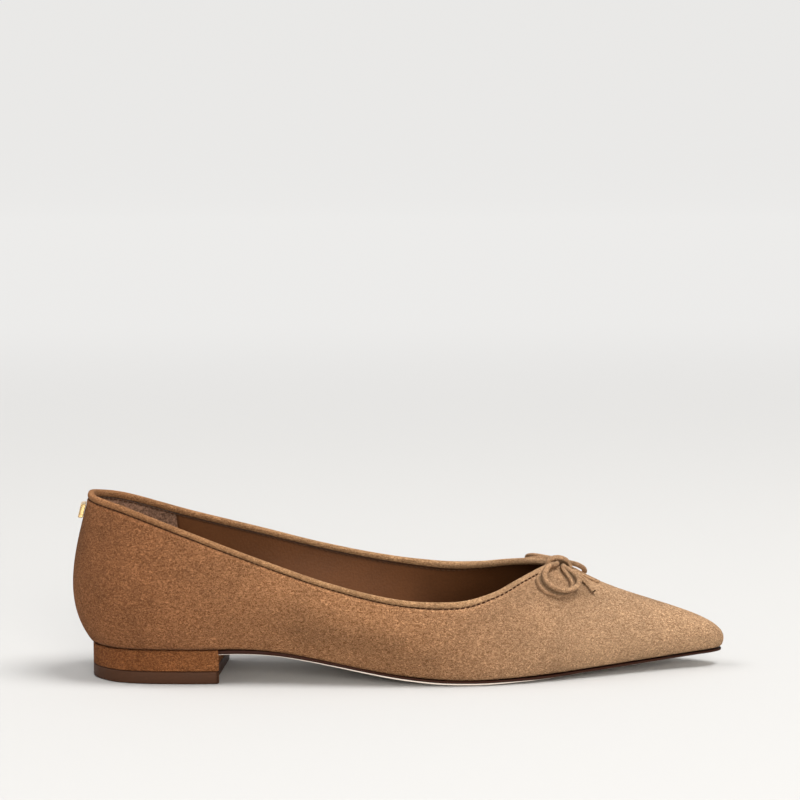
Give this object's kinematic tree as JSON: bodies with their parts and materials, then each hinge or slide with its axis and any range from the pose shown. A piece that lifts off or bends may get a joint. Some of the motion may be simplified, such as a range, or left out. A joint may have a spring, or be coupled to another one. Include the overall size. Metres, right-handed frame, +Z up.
{
  "type": "pointed toe flat shoe",
  "caption": "Pointed toe flat shoe for the right foot: low cut upper with a rolled topline and a small bow, thin arched sole and a low covered block heel.",
  "frame": {"origin": "middle of the heel tread, on the floor", "axes": "+X to the toe, +Y to the inner side of the foot, +Z up"},
  "size_m": [0.2636, 0.0763, 0.0738],
  "materials": {
    "suede": "tan suede with a short matte nap",
    "sock_leather": "smooth brown lining leather",
    "sole_rubber": "matte dark brown",
    "heel_rubber": "matte dark brown",
    "gold_metal": "polished pale gold"
  },
  "bodies": {
    "root": {"upper": "suede", "topline_binding": "suede", "insole": "sock_leather", "outsole": "sole_rubber", "heel_block": "suede", "heel_top_piece": "heel_rubber", "bow_knot": "suede", "bow_loop_outer": "suede", "bow_loop_inner": "suede", "bow_tail_outer": "suede", "bow_tail_inner": "suede", "heel_plate": "gold_metal"}
  },
  "joints": []
}
